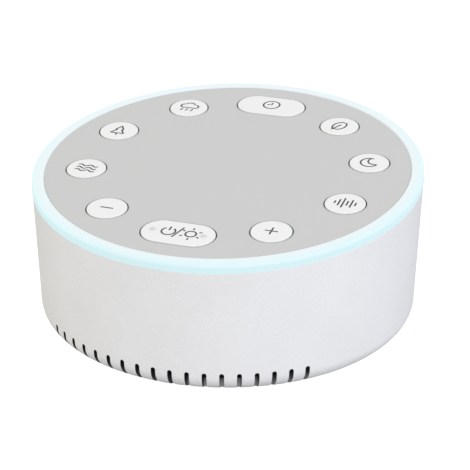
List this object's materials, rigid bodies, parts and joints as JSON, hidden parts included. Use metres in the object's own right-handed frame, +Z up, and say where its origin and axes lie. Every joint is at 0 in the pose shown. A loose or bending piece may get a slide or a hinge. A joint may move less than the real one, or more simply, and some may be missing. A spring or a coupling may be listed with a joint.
{
  "type": "white noise sound machine",
  "caption": "Low round table-top sound machine with a sloping key deck, a glowing ring, press keys and sound slots in the bottom edge.",
  "frame": {"origin": "middle of the resting plane under the housing's axis", "axes": "+Z up, -Y the front where the sound slots and the power key are, +X to the right seen from the front"},
  "size_m": [0.12, 0.1198, 0.0548],
  "materials": {
    "board_laminate": "green solder mask",
    "capacitor_can": "plain can",
    "component_plastic": "black moulded",
    "component_white": "white moulded",
    "cone_paper": "pressed paper",
    "foot_rubber": "soft, dark grey",
    "gasket_foam": "foam ring",
    "housing_plastic": "fine matte texture, off-white",
    "inner_plastic": "plain, dark grey",
    "key_plastic": "smooth matte, white",
    "magnet_ferrite": "dark ferrite",
    "panel_plastic": "smooth matte, light grey",
    "ring_plastic": "milky, lit from below",
    "screw_steel": "zinc plated",
    "steel": "pressed sheet",
    "surround_rubber": "soft roll"
  },
  "bodies": {
    "machine": {"housing_shell": "housing_plastic", "base_cover": "housing_plastic", "rubber_feet": "foot_rubber", "base_screws": "screw_steel", "top_panel": "panel_plastic", "light_ring": "ring_plastic", "switch_bodies": "component_plastic", "control_board": "board_laminate", "board_screws": "screw_steel", "case_screws": "screw_steel", "ring_leds": "component_white", "sound_chip": "component_plastic", "amplifier_chip": "component_plastic", "capacitors": "capacitor_can", "board_connectors": "component_white", "speaker_baffle": "inner_plastic", "speaker_gasket": "gasket_foam", "speaker_basket": "steel", "speaker_magnet": "magnet_ferrite", "speaker_cone": "cone_paper", "speaker_surround": "surround_rubber", "speaker_dust_cap": "cone_paper", "speaker_screws": "screw_steel", "power_board": "board_laminate", "power_board_screws": "screw_steel", "power_socket_shell": "steel", "power_socket_tongue": "component_plastic"},
    "timer": {"timer_key": "key_plastic", "timer_switch_plunger": "inner_plastic"},
    "rain": {"rain_key": "key_plastic", "rain_switch_plunger": "inner_plastic"},
    "forest": {"forest_key": "key_plastic", "forest_switch_plunger": "inner_plastic"},
    "ocean": {"ocean_key": "key_plastic", "ocean_switch_plunger": "inner_plastic"},
    "volume_down": {"volume_down_key": "key_plastic", "volume_down_switch_plunger": "inner_plastic"},
    "power_light": {"power_light_key": "key_plastic", "power_light_switch_plunger": "inner_plastic"},
    "volume_up": {"volume_up_key": "key_plastic", "volume_up_switch_plunger": "inner_plastic"},
    "white_noise": {"white_noise_key": "key_plastic", "white_noise_switch_plunger": "inner_plastic"},
    "calm": {"calm_key": "key_plastic", "calm_switch_plunger": "inner_plastic"},
    "relax": {"relax_key": "key_plastic", "relax_switch_plunger": "inner_plastic"}
  },
  "joints": [
    {"name": "timer_press", "type": "slide", "parent": "machine", "child": "timer", "axis": [0, 0.0924, -0.9957], "range_m": [0, 0.0007], "stiffness_N_per_m": 1200},
    {"name": "rain_press", "type": "slide", "parent": "machine", "child": "rain", "axis": [0, 0.0924, -0.9957], "range_m": [0, 0.0007], "stiffness_N_per_m": 1200},
    {"name": "forest_press", "type": "slide", "parent": "machine", "child": "forest", "axis": [0, 0.0924, -0.9957], "range_m": [0, 0.0007], "stiffness_N_per_m": 1200},
    {"name": "ocean_press", "type": "slide", "parent": "machine", "child": "ocean", "axis": [0, 0.0924, -0.9957], "range_m": [0, 0.0007], "stiffness_N_per_m": 1200},
    {"name": "volume_down_press", "type": "slide", "parent": "machine", "child": "volume_down", "axis": [0, 0.0924, -0.9957], "range_m": [0, 0.0007], "stiffness_N_per_m": 1200},
    {"name": "power_light_press", "type": "slide", "parent": "machine", "child": "power_light", "axis": [0, 0.0924, -0.9957], "range_m": [0, 0.0007], "stiffness_N_per_m": 1200},
    {"name": "volume_up_press", "type": "slide", "parent": "machine", "child": "volume_up", "axis": [0, 0.0924, -0.9957], "range_m": [0, 0.0007], "stiffness_N_per_m": 1200},
    {"name": "white_noise_press", "type": "slide", "parent": "machine", "child": "white_noise", "axis": [0, 0.0924, -0.9957], "range_m": [0, 0.0007], "stiffness_N_per_m": 1200},
    {"name": "calm_press", "type": "slide", "parent": "machine", "child": "calm", "axis": [0, 0.0924, -0.9957], "range_m": [0, 0.0007], "stiffness_N_per_m": 1200},
    {"name": "relax_press", "type": "slide", "parent": "machine", "child": "relax", "axis": [0, 0.0924, -0.9957], "range_m": [0, 0.0007], "stiffness_N_per_m": 1200}
  ]
}
